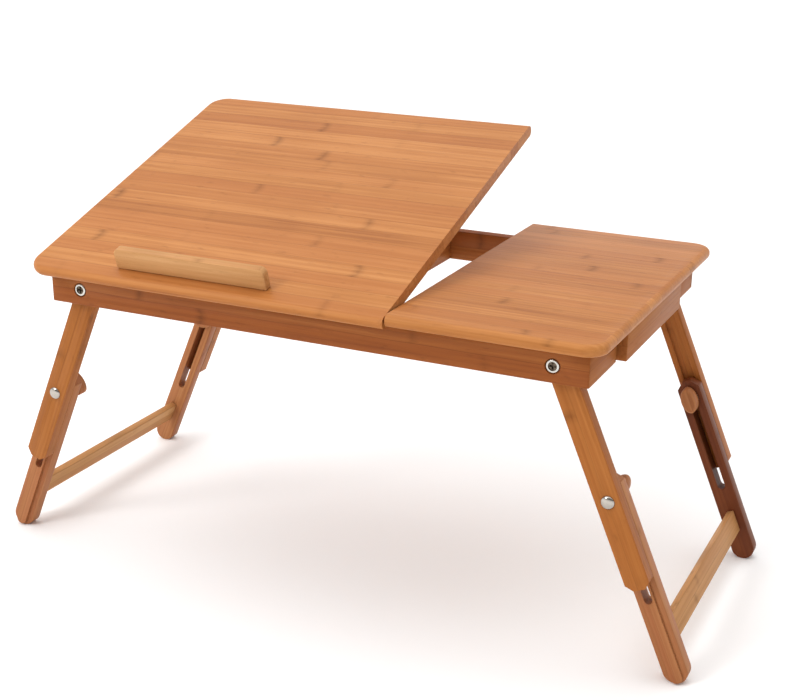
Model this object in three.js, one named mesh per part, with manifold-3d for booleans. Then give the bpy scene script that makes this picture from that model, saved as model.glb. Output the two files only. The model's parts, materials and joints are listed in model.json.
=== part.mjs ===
// Folding tray table in laminated bamboo: a fixed shelf with a drawer under it, a tilting panel with
// a stop bar, and four two-part legs that slide to set the height and fold in under the frame.
// Millimetres, +Z up, X along the length (drawer at +X), front of the table at -Y.
import * as THREE from "three";
import { mergeVertices } from "three/addons/utils/BufferGeometryUtils.js";
import Module from "manifold-3d";

const wasm = await Module();
wasm.setup();

// ---- driving dimensions ----
const LENGTH = 550;
const DEPTH = 350;
const HEIGHT = 300; // shelf surface with the legs fully extended
const TOP_T = 11; // shelf board
const TILT_T = 10.6; // tilting board, thinner by the gap it keeps over the rails
const CORNER_R = 20; // plan radius of the outer corners
const SPLIT_X = 88.7; // line between tilting and fixed board
const SPLIT_GAP = 1.6;
const RAIL_H = 30;
const RAIL_T = 12;
const OVER_END = 15; // overhang of the boards past the frame's ends
const OVER_SIDE = 17; // overhang past the front and back rails
const LEG_W = 22;
const LEG_T = 12;
const LEG_GAP = 0.4; // between rail and upper leg
const LEG_SPACE = 0.8; // between upper and lower leg
const SPLAY = THREE.MathUtils.degToRad(23.325);
const PIVOT_IN = 31; // pivot from the frame's end
const PIVOT_DOWN = 16; // pivot below the boards
const CLAMP_AT = 123.5; // clamp bolt from the pivot, along the leg
const UPPER_END = 203.3;
const LOWER_TOP = 106;
const LOWER_CHAMFER = 7.5;
const UPPER_CHAMFER = 6;
const TONGUE_W = 10.6;
const TONGUE_H = 2.4;
const SLOT_W = 7.4;
const SLOT_FROM = 119.9;
const SLOT_TO = 221;
const CROSS_FROM = 244.5; // crossbar, along the leg
const CROSS_TO = 266;
const CROSS_IN = -3; // crossbar, across the leg
const CROSS_OUT = 4;
const CENTRE_X = [-3, 9];
const TILT = THREE.MathUtils.degToRad(17.86);
const AXIS_Y = -162.5; // tilt axis, just in front of the front rail
const AXIS_Z = 289.2;
const PROP_U = 150; // prop pivot behind the tilt axis
const PROP_LENGTH = 95;
const PROP_PIVOT_Z = 282.4; // with the board flat
const FOOT_Z = 282; // foot rod's height over its rack
const NOTCH_PITCH = 12;
const DRAWER_HALF = 84;
const DRAWER_PROUD = 8;

const UNDER = HEIGHT - TOP_T;
const RAIL_Z = UNDER - RAIL_H;
const END_X = LENGTH / 2 - OVER_END;
const OUT_Y = DEPTH / 2 - OVER_SIDE;
const IN_Y = OUT_Y - RAIL_T;
const PIVOT_X = END_X - PIVOT_IN;
const PIVOT_Z = UNDER - PIVOT_DOWN;
const FOOT_R = LEG_W / 2;
const LEG_LENGTH = (PIVOT_Z - FOOT_R) / Math.cos(SPLAY); // pivot to the centre of the foot's curve

// ---- materials ----
const finish = (color, roughness, metalness = 0) =>
  new THREE.MeshStandardMaterial({ color, roughness, metalness });
const BOARD = finish("#c98f5f", 0.42);
const RAIL = finish("#a5683e", 0.48);
const LEG = finish("#b0713f", 0.48);
const PALE = finish("#cf9d66", 0.5);
const STEEL = finish("#c4c2bd", 0.25, 1);

// ---- solids ----
function solid(geometry) {
  const bare = geometry.clone();
  bare.deleteAttribute("normal");
  bare.deleteAttribute("uv");
  const merged = mergeVertices(bare, 1e-4);
  return new wasm.Manifold(
    new wasm.Mesh({
      numProp: 3,
      vertProperties: merged.attributes.position.array,
      triVerts: new Uint32Array(merged.index.array),
    }),
  );
}

function box(x0, x1, y0, y1, z0, z1) {
  const g = new THREE.BoxGeometry(x1 - x0, Math.abs(y1 - y0), z1 - z0);
  return solid(g.translate((x0 + x1) / 2, (y0 + y1) / 2, (z0 + z1) / 2));
}

// A round bar along Y between y0 and y1.
function barY(r, y0, y1, x = 0, z = 0, sides = 16) {
  const g = new THREE.CylinderGeometry(r, r, Math.abs(y1 - y0), sides);
  return solid(g.translate(x, (y0 + y1) / 2, z));
}

// A round bar along X between x0 and x1.
function barX(r, x0, x1, y = 0, z = 0, sides = 16) {
  const g = new THREE.CylinderGeometry(r, r, x1 - x0, sides).rotateZ(Math.PI / 2);
  return solid(g.translate((x0 + x1) / 2, y, z));
}

// A round bar along Z between z0 and z1.
function barZ(r, z0, z1, x = 0, y = 0, sides = 16) {
  const g = new THREE.CylinderGeometry(r, r, z1 - z0, sides).rotateX(Math.PI / 2);
  return solid(g.translate(x, y, (z0 + z1) / 2));
}

// An outline drawn in X and Z, extruded along Y from y0 to y1.
function slabXZ(outline, y0, y1) {
  const depth = Math.abs(y1 - y0);
  const g = new THREE.ExtrudeGeometry(outline, { depth, bevelEnabled: false, curveSegments: 8 });
  return solid(g.rotateX(Math.PI / 2).translate(0, Math.max(y0, y1), 0));
}

// An outline drawn in Y and Z, extruded along X from x0 to x1.
function slabYZ(points, x0, x1) {
  const outline = new THREE.Shape(points.map(([y, z]) => new THREE.Vector2(y, z)));
  const g = new THREE.ExtrudeGeometry(outline, { depth: x1 - x0, bevelEnabled: false });
  const turn = new THREE.Matrix4().set(0, 0, 1, x0, 1, 0, 0, 0, 0, 1, 0, 0, 0, 0, 0, 1);
  return solid(g.applyMatrix4(turn));
}

// A plan outline of [x, y] points, extruded upwards from z0 to z1.
function slabXY(points, z0, z1) {
  const outline = new THREE.Shape(points.map(([x, y]) => new THREE.Vector2(x, y)));
  const g = new THREE.ExtrudeGeometry(outline, { depth: z1 - z0, bevelEnabled: false });
  return solid(g.translate(0, 0, z0));
}

// A turned piece about Y: the profile is [radius, y] pairs that start and end on the axis.
function turnedY(profile, side, x = 0, z = 0, sides = 16) {
  const points = profile.map(([r, y]) => new THREE.Vector2(r, y));
  const g = new THREE.LatheGeometry(points, sides);
  if (side > 0) g.rotateX(Math.PI);
  return solid(g.translate(x, 0, z));
}

function mesh(name, shape, material, parent) {
  const data = shape.getMesh();
  const g = new THREE.BufferGeometry();
  g.setAttribute("position", new THREE.BufferAttribute(data.vertProperties, 3));
  g.setIndex(new THREE.BufferAttribute(data.triVerts, 1));
  const made = new THREE.Mesh(g, material);
  made.name = name;
  parent.add(made);
}

// ---- groups ----
const group = new THREE.Group();
// The tilted board's nose stands a little in front of the shelf: the whole is centred on both.
const noseY = AXIS_Y - DEPTH / 2 - AXIS_Y + TILT_T / 2;
const noseTurned =
  AXIS_Y +
  (noseY - AXIS_Y) * Math.cos(TILT) -
  (HEIGHT - TILT_T / 2 - AXIS_Z) * Math.sin(TILT) -
  TILT_T / 2;
group.position.y = (-noseTurned - DEPTH / 2) / 2;

// ---- boards: rounded in plan at the outer corners, bull-nosed all round, square at the split ----
function board(x0, x1, thickness, keepFrom, keepTo) {
  const r = CORNER_R;
  const outline = new THREE.Shape();
  outline.moveTo(x0 + r, -DEPTH / 2);
  outline.lineTo(x1 - r, -DEPTH / 2);
  outline.absarc(x1 - r, -DEPTH / 2 + r, r, -Math.PI / 2, 0);
  outline.absarc(x1 - r, DEPTH / 2 - r, r, 0, Math.PI / 2);
  outline.absarc(x0 + r, DEPTH / 2 - r, r, Math.PI / 2, Math.PI);
  outline.absarc(x0 + r, -DEPTH / 2 + r, r, Math.PI, 1.5 * Math.PI);
  const nose = thickness / 2 - 0.3;
  const g = new THREE.ExtrudeGeometry(outline, {
    depth: thickness - 2 * nose,
    bevelThickness: nose,
    bevelSize: nose,
    bevelOffset: -nose,
    bevelSegments: 4,
    curveSegments: 8,
  });
  const whole = solid(g.translate(0, 0, HEIGHT - thickness + nose));
  return whole.intersect(box(keepFrom, keepTo, -DEPTH, DEPTH, 0, 2 * HEIGHT));
}

const half = LENGTH / 2;
mesh("fixed_top", board(-half, half, TOP_T, SPLIT_X + SPLIT_GAP / 2, LENGTH), BOARD, group);

// ---- frame ----
const HINGE_X = [-215, 28];
const HINGE_HALF = 20;
const LEAF_T = 1.2;
const LEAF_BACK = -147.4;
const BOLT_SINK = 2.2; // counterbore round the pivot bolt heads

// The four corners of the frame are mitred.
const inEnd = END_X - RAIL_T;
const frontPlan = [
  [-END_X, -OUT_Y],
  [END_X, -OUT_Y],
  [inEnd, -IN_Y],
  [-inEnd, -IN_Y],
];
const backPlan = [
  [-inEnd, IN_Y],
  [inEnd, IN_Y],
  [END_X, OUT_Y],
  [-END_X, OUT_Y],
];
let frontRail = slabXY(frontPlan, RAIL_Z, UNDER);
let backRail = slabXY(backPlan, RAIL_Z, UNDER);
for (const x of [-PIVOT_X, PIVOT_X]) {
  frontRail = frontRail.subtract(barY(3.2, -OUT_Y - 1, -IN_Y + 1, x, PIVOT_Z));
  frontRail = frontRail.subtract(barY(6.6, -OUT_Y - 1, -OUT_Y + BOLT_SINK, x, PIVOT_Z));
  backRail = backRail.subtract(barY(3.2, IN_Y - 1, OUT_Y + 1, x, PIVOT_Z));
  backRail = backRail.subtract(barY(6.6, OUT_Y - BOLT_SINK, OUT_Y + 1, x, PIVOT_Z));
}
const leafZ = UNDER - LEAF_T - 0.1;
for (const x of HINGE_X) {
  const reach = HINGE_HALF + 0.3;
  frontRail = frontRail.subtract(
    box(x - reach, x + reach, -OUT_Y - 1, LEAF_BACK + 0.3, leafZ - 0.1, UNDER + 1),
  );
}
mesh("front_rail", frontRail, RAIL, group);
mesh("back_rail", backRail, RAIL, group);
const leftPlan = [
  [-END_X, -OUT_Y],
  [-inEnd, -IN_Y],
  [-inEnd, IN_Y],
  [-END_X, OUT_Y],
];
mesh("left_end_rail", slabXY(leftPlan, RAIL_Z, UNDER), RAIL, group);
const mouth = DRAWER_HALF + 3; // half width of the drawer's opening
const shortPlan = [
  [inEnd, -IN_Y],
  [END_X, -OUT_Y],
  [END_X, -mouth],
  [inEnd, -mouth],
];
mesh("right_end_front", slabXY(shortPlan, RAIL_Z, UNDER), RAIL, group);
const shortBack = shortPlan.map(([x, y]) => [x, -y]).reverse();
mesh("right_end_back", slabXY(shortBack, RAIL_Z, UNDER), RAIL, group);
mesh("centre_rail", box(...CENTRE_X, -IN_Y, IN_Y, RAIL_Z, UNDER), RAIL, group);

// ---- hinges of the tilting board: leaf on the rail, leaf on the board, pin ----
const BARREL_R = 2.8;
const BORE_R = 1.45;
const PIN_R = 1.35;
const KNUCKLE = 6.5; // half length of the middle knuckle

// A leaf in the board's or the rail's recess, with knuckles between the stated pairs of X.
function hingeLeaf(x, z0, knuckles) {
  let leaf = box(x - HINGE_HALF, x + HINGE_HALF, -OUT_Y - 0.9, LEAF_BACK, z0, z0 + LEAF_T);
  for (const [a, b] of knuckles) {
    const barrel = barX(BARREL_R, x + a, x + b, AXIS_Y, AXIS_Z, 20);
    const tab = box(x + a, x + b, AXIS_Y, -OUT_Y, z0, z0 + LEAF_T);
    leaf = leaf.add(barrel).add(tab).subtract(barX(BORE_R, x + a - 1, x + b + 1, AXIS_Y, AXIS_Z));
  }
  return leaf;
}

const outer = [
  [-HINGE_HALF, -KNUCKLE - 0.3],
  [KNUCKLE + 0.3, HINGE_HALF],
];
["left", "right"].forEach((side, i) => {
  const x = HINGE_X[i];
  mesh(`hinge_leaf_rail_${side}`, hingeLeaf(x, leafZ, outer), STEEL, group);
  const pin = barX(PIN_R, x - HINGE_HALF + 0.2, x + HINGE_HALF - 0.2, AXIS_Y, AXIS_Z, 12);
  mesh(`hinge_pin_${side}`, pin, STEEL, group);
});

// ---- tilting board and what is fixed to it, drawn flat and turned about the hinge axis ----
const tilting = new THREE.Group();
tilting.position.set(0, AXIS_Y, AXIS_Z);
tilting.rotation.x = TILT;
group.add(tilting);
const flat = new THREE.Group(); // undoes the axis offset, so that pieces are drawn in the frame's axes
flat.position.set(0, -AXIS_Y, -AXIS_Z);
tilting.add(flat);

const TILT_UNDER = HEIGHT - TILT_T;
const STOP_X = [-182, -28];
const STOP_Y = [-159, -150.5];
const DOWEL_X = [-160, -50];
const dowelY = (STOP_Y[0] + STOP_Y[1]) / 2;
let tiltTop = board(-half, half, TILT_T, -LENGTH, SPLIT_X - SPLIT_GAP / 2);
for (const x of HINGE_X) {
  const reach = HINGE_HALF + 0.4;
  tiltTop = tiltTop
    .subtract(
      box(x - reach, x + reach, AXIS_Y, LEAF_BACK + 0.4, TILT_UNDER - 3, TILT_UNDER + LEAF_T + 0.3),
    )
    .subtract(
      box(x - reach, x + reach, AXIS_Y - 3.4, AXIS_Y + 3.4, TILT_UNDER - 3, AXIS_Z + 3.3),
    );
}
for (const x of DOWEL_X) tiltTop = tiltTop.subtract(barZ(2.9, HEIGHT - 8.4, HEIGHT + 1, x, dowelY));
mesh("tilt_top", tiltTop, BOARD, flat);

["left", "right"].forEach((side, i) => {
  const x = HINGE_X[i];
  mesh(`hinge_leaf_top_${side}`, hingeLeaf(x, TILT_UNDER, [[-KNUCKLE, KNUCKLE]]), STEEL, flat);
});

// Stop bar: rounded upper corners, two dowels that drop into the board.
const stopShape = new THREE.Shape();
const stopR = 6;
const STOP_BASE = HEIGHT + 0.3;
const STOP_H = 20;
stopShape.moveTo(STOP_X[0], STOP_BASE);
stopShape.lineTo(STOP_X[1], STOP_BASE);
stopShape.lineTo(STOP_X[1], STOP_BASE + STOP_H - stopR);
stopShape.absarc(STOP_X[1] - stopR, STOP_BASE + STOP_H - stopR, stopR, 0, Math.PI / 2);
stopShape.lineTo(STOP_X[0] + stopR, STOP_BASE + STOP_H);
stopShape.absarc(STOP_X[0] + stopR, STOP_BASE + STOP_H - stopR, stopR, Math.PI / 2, Math.PI);
let stopBar = slabXZ(stopShape, ...STOP_Y);
for (const x of DOWEL_X) stopBar = stopBar.add(barZ(2.5, HEIGHT - 8, STOP_BASE + 4, x, dowelY));
mesh("stop_bar", stopBar, PALE, flat);

// ---- prop under the tilting board ----
const propY = AXIS_Y + PROP_U;
const PROP_X = [-114.5, -69.5];
const BLOCKS = [
  ["left", -126, -116],
  ["right", -68, -58],
];
for (const [side, x0, x1] of BLOCKS) {
  const block = box(x0, x1, propY - 9, propY + 9, PROP_PIVOT_Z - 5, TILT_UNDER - 0.3);
  mesh(
    `prop_block_${side}`,
    block.subtract(barX(2.6, x0 - 1, x1 + 1, propY, PROP_PIVOT_Z)),
    RAIL,
    flat,
  );
}
mesh("prop_pivot_rod", barX(2.5, -127, -57, propY, PROP_PIVOT_Z, 12), STEEL, flat);

// The prop's angle to the board puts its foot rod over the rack at the stored tilt.
const pivotDrop = PROP_PIVOT_Z - AXIS_Z;
const pivotTurned = AXIS_Z + PROP_U * Math.sin(TILT) + pivotDrop * Math.cos(TILT);
const propSlope = Math.asin((pivotTurned - FOOT_Z) / PROP_LENGTH);
const footY =
  AXIS_Y +
  PROP_U * Math.cos(TILT) -
  pivotDrop * Math.sin(TILT) +
  PROP_LENGTH * Math.cos(propSlope);
const prop = new THREE.Group();
prop.position.set(0, propY, PROP_PIVOT_Z);
prop.rotation.x = -(propSlope + TILT);
flat.add(prop);
const strut = box(...PROP_X, 0, PROP_LENGTH, -4.5, 4.5)
  .add(barX(4.5, ...PROP_X, 0, 0))
  .add(barX(4.5, ...PROP_X, PROP_LENGTH, 0))
  .subtract(barX(2.8, PROP_X[0] - 1, PROP_X[1] + 1, 0, 0))
  .subtract(barX(3.3, PROP_X[0] - 1, PROP_X[1] + 1, PROP_LENGTH, 0))
  .subtract(box(PROP_X[0] + 12, PROP_X[1] - 12, 22, PROP_LENGTH - 22, -5, 5));
mesh("prop_strut", strut, PALE, prop);
mesh("prop_foot_rod", barX(3, -128.5, -55.5, PROP_LENGTH, 0), STEEL, prop);

// Racks: one board on each side of the prop, five notches, ends relieved over the folded legs.
const RACK_TOP = 278;
const RACK_LOW = 264;
const SHOULDER = 272.5;
const ARM_Y = 104;
const rackOutline = [
  [-IN_Y, SHOULDER],
  [-ARM_Y, SHOULDER],
  [-ARM_Y + 4, RACK_LOW],
  [ARM_Y - 4, RACK_LOW],
  [ARM_Y, SHOULDER],
  [IN_Y, SHOULDER],
  [IN_Y, RACK_TOP - 2],
  [footY + 26, RACK_TOP - 2],
  [footY + 24, RACK_TOP],
  [footY - 52, RACK_TOP],
  [footY - 54, RACK_TOP - 2],
  [-IN_Y, RACK_TOP - 2],
];
for (const [side, x0, x1] of [
  ["left", -128, -118],
  ["right", -66, -56],
]) {
  let rack = slabYZ(rackOutline, x0, x1);
  for (let k = -3; k <= 1; k++)
    rack = rack.subtract(barX(3.3, x0 - 1, x1 + 1, footY + k * NOTCH_PITCH, RACK_TOP + 0.6));
  mesh(`prop_rack_${side}`, rack, RAIL, group);
}

// ---- drawer and its runners ----
const DRAWER_BACK = 101;
const SIDE_IN = 74;
const SIDE_OUT = 82;
const BOX_LOW = 263.5;
const BOX_HIGH = 285;
const FRONT_X = [END_X - 2, END_X + DRAWER_PROUD];
const tray = new THREE.Group();
group.add(tray);
mesh(
  "drawer_front",
  box(...FRONT_X, -DRAWER_HALF, DRAWER_HALF, RAIL_Z + 0.6, UNDER - 1.2),
  BOARD,
  tray,
);
for (const [side, s] of [
  ["front", -1],
  ["back", 1],
]) {
  const inner = s * SIDE_IN;
  const groove = s * (SIDE_OUT - 3);
  const outerY = s * SIDE_OUT;
  const points = [
    [inner, BOX_LOW],
    [outerY, BOX_LOW],
    [outerY, 273],
    [groove, 273],
    [groove, 279],
    [outerY, 279],
    [outerY, BOX_HIGH],
    [inner, BOX_HIGH],
  ];
  if (s < 0) points.reverse();
  mesh(`drawer_side_${side}`, slabYZ(points, DRAWER_BACK, FRONT_X[0]), PALE, tray);
  const runner = [
    [s * (SIDE_OUT + 1), 268],
    [s * (SIDE_OUT + 13), 268],
    [s * (SIDE_OUT + 13), UNDER],
    [s * (SIDE_OUT + 1), UNDER],
    [s * (SIDE_OUT + 1), 278.5],
    [s * (SIDE_OUT - 2.6), 278.5],
    [s * (SIDE_OUT - 2.6), 273.5],
    [s * (SIDE_OUT + 1), 273.5],
  ];
  if (s < 0) runner.reverse();
  mesh(`drawer_runner_${side}`, slabYZ(runner, 99, END_X - RAIL_T), RAIL, group);
}
mesh(
  "drawer_back",
  box(DRAWER_BACK, DRAWER_BACK + 8, -SIDE_IN, SIDE_IN, BOX_LOW, BOX_HIGH),
  PALE,
  tray,
);
mesh(
  "drawer_bottom",
  box(DRAWER_BACK, FRONT_X[0], -SIDE_OUT, SIDE_OUT, RAIL_Z + 1.6, BOX_LOW),
  PALE,
  tray,
);

// ---- legs: drawn upright with the pivot at the origin, X across the leg, Z up along it ----
function stadium(x0, x1, z0, z1) {
  const r = (x1 - x0) / 2;
  const s = new THREE.Shape();
  s.moveTo(x1, z1 - r);
  s.absarc(x0 + r, z1 - r, r, 0, Math.PI);
  s.lineTo(x0, z0 + r);
  s.absarc(x0 + r, z0 + r, r, Math.PI, 2 * Math.PI);
  return s;
}

// Straight sides, a round end at zRound and a chamfered end at zCut.
function legOutline(w, zRound, zCut, chamfer) {
  const up = Math.sign(zRound - zCut);
  const s = new THREE.Shape();
  s.moveTo(-w, zRound - up * w);
  s.lineTo(-w, zCut + up * chamfer);
  s.lineTo(-w + chamfer, zCut);
  s.lineTo(w - chamfer, zCut);
  s.lineTo(w, zCut + up * chamfer);
  s.lineTo(w, zRound - up * w);
  s.absarc(0, zRound - up * w, w, 0, up * Math.PI, up < 0);
  return s;
}

const legHalf = LEG_W / 2;
const LOWER_OUT = LEG_GAP + LEG_T + LEG_SPACE; // outer face of the lower leg's body, from the rail
const LOWER_IN = LOWER_OUT + LEG_T;
const FOOT_END = LEG_LENGTH + FOOT_R;

function upperLeg(s) {
  const y = (v) => s * v;
  const from = LEG_GAP;
  const to = LEG_GAP + LEG_T;
  return slabXZ(legOutline(legHalf, legHalf, -UPPER_END, UPPER_CHAMFER), y(from), y(to))
    .subtract(barY(3.2, y(from - 1), y(to + 1)))
    .subtract(barY(3.1, y(from - 1), y(to + 1), 0, -CLAMP_AT))
    .subtract(
      slabXZ(
        stadium(-TONGUE_W / 2 - 0.3, TONGUE_W / 2 + 0.3, -UPPER_END - 20, -8),
        y(to + LEG_SPACE - TONGUE_H - 0.8),
        y(to + 1),
      ),
    );
}

function lowerLeg(s) {
  const y = (v) => s * v;
  const body = slabXZ(
    legOutline(legHalf, -FOOT_END, -LOWER_TOP, LOWER_CHAMFER),
    y(LOWER_OUT),
    y(LOWER_IN),
  );
  const tongue = slabXZ(
    stadium(-TONGUE_W / 2, TONGUE_W / 2, -FOOT_END + 1, -LOWER_TOP - 2),
    y(LOWER_OUT - TONGUE_H),
    y(LOWER_OUT + 1),
  );
  const slot = slabXZ(
    stadium(-SLOT_W / 2, SLOT_W / 2, -SLOT_TO, -SLOT_FROM),
    y(LOWER_OUT - TONGUE_H - 1),
    y(LOWER_IN + 1),
  );
  return body.add(tongue).subtract(slot);
}

// Domed clamp bolt: head on the outside of the upper leg, shank through the slot into the knob.
function clampBolt(s) {
  const head = [
    [0, -2.6],
    [2.8, -2.25],
    [4.9, -1.35],
    [6, -0.2],
    [6, 0],
    [3, 0],
    [3, LOWER_IN + 9],
    [0, LOWER_IN + 9],
  ].map(([r, y]) => [r, -(y + LEG_GAP - 0.05)]);
  return turnedY(head.reverse(), s, 0, -CLAMP_AT);
}

// Long oval knob with a bevelled face and a blind hole for the bolt.
const KNOB_HALF = [7.2, 12.3];
const KNOB_T = 12;
// How far each knob is turned from standing along its leg.
const KNOB_TURN = { left_front: -60, left_back: 80, right_front: 50, right_back: 0 };
function knob(s) {
  const bevel = 2.4;
  const oval = new THREE.Shape();
  oval.absellipse(0, 0, ...KNOB_HALF, 0, 2 * Math.PI);
  const points = oval.getPoints(10).slice(0, -1);
  const g = new THREE.ExtrudeGeometry(new THREE.Shape(points), {
    depth: KNOB_T - bevel,
    bevelThickness: bevel,
    bevelSize: bevel,
    bevelOffset: -bevel,
    bevelSegments: 2,
  });
  const face = LOWER_IN + 1.7;
  g.rotateX(s > 0 ? -Math.PI / 2 : Math.PI / 2);
  const body = solid(g.translate(0, s * (face - 0.01), 0));
  const near = face + KNOB_T;
  return body
    .intersect(box(-20, 20, s * face, s * (near + 5), -20, 20))
    .subtract(barY(3.2, s * (face - 1), s * (LOWER_IN + 9.6)));
}

function ringY(r, hole, y0, y1, z) {
  return barY(r, y0, y1, 0, z).subtract(barY(hole, Math.min(y0, y1) - 1, Math.max(y0, y1) + 1, 0, z));
}

// Pivot bolt: flanged head with a hex socket in the rail's counterbore, nut inside the leg.
function pivotBolt(s) {
  const head = [
    [0, -1.9],
    [4.9, -1.9],
    [5.7, -1.2],
    [5.7, 0.3],
    [3, 0.3],
    [3, RAIL_T + LEG_GAP + LEG_T + 1],
    [0, RAIL_T + LEG_GAP + LEG_T + 1],
  ].map(([r, y]) => [r, RAIL_T - y - 1.5]);
  const bolt = turnedY(head.reverse(), s);
  const socket = new THREE.CylinderGeometry(2.3, 2.3, 2.4, 6);
  return bolt.subtract(solid(socket.translate(0, s * -(RAIL_T - 1.5 + 1.9), 0)));
}

for (const [end, sx] of [
  ["left", -1],
  ["right", 1],
]) {
  for (const [row, s] of [
    ["front", 1],
    ["back", -1],
  ]) {
    const leg = new THREE.Group();
    leg.position.set(sx * PIVOT_X, -s * IN_Y, PIVOT_Z);
    leg.rotation.y = -sx * SPLAY;
    group.add(leg);
    const tag = `${end}_${row}`;
    mesh(`upper_leg_${tag}`, upperLeg(s), LEG, leg);
    mesh(`lower_leg_${tag}`, lowerLeg(s), LEG, leg);
    mesh(`clamp_bolt_${tag}`, clampBolt(s), STEEL, leg);
    const grip = new THREE.Group();
    grip.position.z = -CLAMP_AT;
    grip.rotation.y = THREE.MathUtils.degToRad(KNOB_TURN[tag]);
    leg.add(grip);
    mesh(`clamp_knob_${tag}`, knob(s), PALE, grip);
    mesh(
      `clamp_washer_${tag}`,
      ringY(7.5, 3.3, s * (LOWER_IN + 0.3), s * (LOWER_IN + 1.4), -CLAMP_AT),
      STEEL,
      leg,
    );
    const pin = new THREE.Group();
    pin.position.set(sx * PIVOT_X, -s * IN_Y, PIVOT_Z);
    group.add(pin);
    mesh(`pivot_bolt_${tag}`, pivotBolt(s), STEEL, pin);
    const inner = LEG_GAP + LEG_T + 0.3;
    mesh(`pivot_nut_${tag}`, ringY(6, 3.1, s * inner, s * (inner + 2.4), 0), STEEL, pin);
  }
  // Crossbar between the two lower legs of this end.
  const bar = new THREE.Group();
  bar.position.set(sx * PIVOT_X, 0, PIVOT_Z);
  bar.rotation.y = -sx * SPLAY;
  group.add(bar);
  const reach = IN_Y - LOWER_IN - 0.3;
  const across = [sx * CROSS_IN, sx * CROSS_OUT].sort((a, b) => a - b);
  mesh(`crossbar_${end}`, box(...across, -reach, reach, -CROSS_TO, -CROSS_FROM), LEG, bar);
}

export default group;
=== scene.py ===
import json
from math import asin, cos, pi, radians

import bpy
from mathutils import Matrix, Vector


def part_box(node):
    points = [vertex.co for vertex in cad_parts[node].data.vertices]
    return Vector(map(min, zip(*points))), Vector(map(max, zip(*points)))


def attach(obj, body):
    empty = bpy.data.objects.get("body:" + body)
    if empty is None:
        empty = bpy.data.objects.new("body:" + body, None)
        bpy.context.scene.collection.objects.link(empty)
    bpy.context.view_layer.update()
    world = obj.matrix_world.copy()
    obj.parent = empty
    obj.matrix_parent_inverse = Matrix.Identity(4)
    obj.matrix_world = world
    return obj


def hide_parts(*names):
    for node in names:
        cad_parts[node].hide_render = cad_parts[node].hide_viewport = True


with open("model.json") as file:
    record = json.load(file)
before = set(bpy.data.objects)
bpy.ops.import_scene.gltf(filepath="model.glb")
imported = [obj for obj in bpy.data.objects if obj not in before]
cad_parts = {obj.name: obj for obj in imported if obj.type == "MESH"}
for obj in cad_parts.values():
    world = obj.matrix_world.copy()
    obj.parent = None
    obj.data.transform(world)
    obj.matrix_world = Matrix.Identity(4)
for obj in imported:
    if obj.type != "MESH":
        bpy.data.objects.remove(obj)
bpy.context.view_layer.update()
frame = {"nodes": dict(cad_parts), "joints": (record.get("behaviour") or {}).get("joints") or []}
joints = {joint["name"]: joint for joint in frame["joints"]}

# ---- Camera ----
# A longish lens at standing height, looking down over the front right corner of the table.
bpy.ops.object.camera_add(
    location=(0.56798, -1.15748, 0.64747),
    rotation=(radians(68.968), radians(-0.669), radians(25.054)),
)
camera = bpy.context.object
camera.name = "camera"
camera.data.sensor_width = 36
camera.data.lens = 64.516
camera.data.shift_x = -0.02068
camera.data.shift_y = 0.06268
bpy.context.scene.camera = camera


# ---- Studio: floor, sky and two soft lamps ----
# A white floor under a bright ceiling. The walls between are dim, most of all at the front right,
# and turn white near the floor, so that no horizon shows. Two soft lamps, one overhead and one at
# the front left, draw the edges.
bpy.ops.object.select_all(action="DESELECT")
bpy.ops.mesh.primitive_plane_add(size=60)
floor = bpy.context.object
floor.name = "floor"
paper = bpy.data.materials.new("white_paper")
paper.use_nodes = True
paper_shader = paper.node_tree.nodes["Principled BSDF"]
paper_shader.inputs["Base Color"].default_value = (0.95, 0.95, 0.95, 1)
paper_shader.inputs["Roughness"].default_value = 0.9
paper_shader.inputs["Specular IOR Level"].default_value = 0.1
floor.data.materials.append(paper)

world = bpy.data.worlds.new("studio_sky")
world.use_nodes = True
sky = world.node_tree
direction = sky.nodes.new("ShaderNodeTexCoord").outputs["Generated"]
height = sky.nodes.new("ShaderNodeSeparateXYZ")
unlit = sky.nodes.new("ShaderNodeVectorMath")
unlit.operation = "DOT_PRODUCT"
unlit.inputs[1].default_value = (0.6, -0.8, 0.1)


def sky_step(low, high, below, above):
    """A smooth change of brightness as its input goes from low to high."""
    step = sky.nodes.new("ShaderNodeMapRange")
    step.interpolation_type = "SMOOTHSTEP"
    values = {"From Min": low, "From Max": high, "To Min": below, "To Max": above}
    for key, value in values.items():
        step.inputs[key].default_value = value
    return step


ceiling = sky_step(0.3, 0.8, 0.45, 1.82)
shade = sky_step(0.25, 0.7, 1, 0.3)
glow = sky_step(0.12, 0.3, 0.95, 0)
light = sky.nodes.new("ShaderNodeMath")
light.operation = "MULTIPLY_ADD"
sky.nodes["Background"].inputs["Color"].default_value = (1, 1, 1, 1)
sky.links.new(direction, height.inputs["Vector"])
sky.links.new(height.outputs["Z"], ceiling.inputs["Value"])
sky.links.new(height.outputs["Z"], glow.inputs["Value"])
sky.links.new(direction, unlit.inputs[0])
sky.links.new(unlit.outputs["Value"], shade.inputs["Value"])
sky.links.new(ceiling.outputs["Result"], light.inputs[0])
sky.links.new(shade.outputs["Result"], light.inputs[1])
sky.links.new(glow.outputs["Result"], light.inputs[2])
sky.links.new(light.outputs["Value"], sky.nodes["Background"].inputs["Strength"])
bpy.context.scene.world = world
bpy.context.scene.view_settings.view_transform = "Standard"


def lamp(name, place, target, size, watts):
    """A square soft box at a place, facing a target."""
    bpy.ops.object.light_add(type="AREA", location=place)
    made = bpy.context.object
    made.name = name
    made.data.size = size
    made.data.energy = watts
    made.rotation_euler = (Vector(target) - Vector(place)).to_track_quat("-Z", "Y").to_euler()


lamp("overhead_lamp", (-0.5, -0.4, 2.2), (0, 0, 0.3), 2.0, 6)
lamp("front_lamp", (-1.2, -2.2, 1.8), (0, 0, 0.2), 0.8, 25)


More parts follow.
